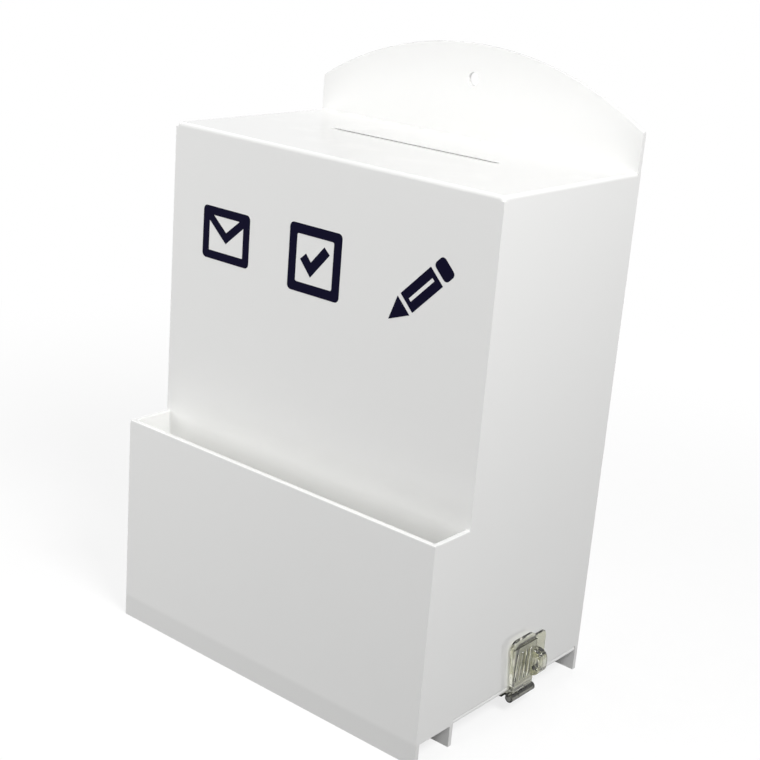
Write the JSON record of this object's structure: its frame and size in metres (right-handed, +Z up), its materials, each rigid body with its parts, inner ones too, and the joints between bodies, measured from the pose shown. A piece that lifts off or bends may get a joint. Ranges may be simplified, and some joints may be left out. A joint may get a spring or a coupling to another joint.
{
  "type": "ballot box",
  "caption": "Wall-hung white acrylic ballot box with arched back, slot in the top, open forms pocket and a hinged bottom door closed by a clear padlock hasp.",
  "frame": {"origin": "middle of the box at floor level, on the plane of the wall behind it", "axes": "+Z up, +Y into the wall, +X to the right of someone facing the box"},
  "size_m": [0.2666, 0.1685, 0.3875],
  "materials": {
    "opal_acrylic": "polished opal white sheet",
    "clear_plastic": "clear moulded, slightly smoky",
    "pin_steel": "plain"
  },
  "bodies": {
    "box": {"back_panel": "opal_acrylic", "front_panel": "opal_acrylic", "left_side_panel": "opal_acrylic", "right_side_panel": "opal_acrylic", "top_panel": "opal_acrylic", "pocket_front_panel": "opal_acrylic", "pocket_left_panel": "opal_acrylic", "pocket_right_panel": "opal_acrylic", "pocket_floor": "opal_acrylic", "hasp_keeper": "clear_plastic", "front_hinge_wall_leaf": "clear_plastic", "rear_hinge_wall_leaf": "clear_plastic", "front_hinge_pin": "pin_steel", "rear_hinge_pin": "pin_steel"},
    "door": {"bottom_door": "opal_acrylic", "hasp_leaf": "clear_plastic", "hasp_pin": "pin_steel", "front_hinge_door_leaf": "clear_plastic", "rear_hinge_door_leaf": "clear_plastic"},
    "flap": {"hasp_flap": "clear_plastic"}
  },
  "joints": [
    {"name": "door_hinge", "type": "hinge", "parent": "box", "child": "door", "pos_m": [-0.12788, -0.0685, 0.01112], "axis": [0, 1, 0], "range_deg": [0, 180]},
    {"name": "hasp_hinge", "type": "hinge", "parent": "door", "child": "flap", "pos_m": [0.12788, -0.069, 0.01112], "axis": [0, 1, 0], "range_deg": [0, 180]}
  ]
}
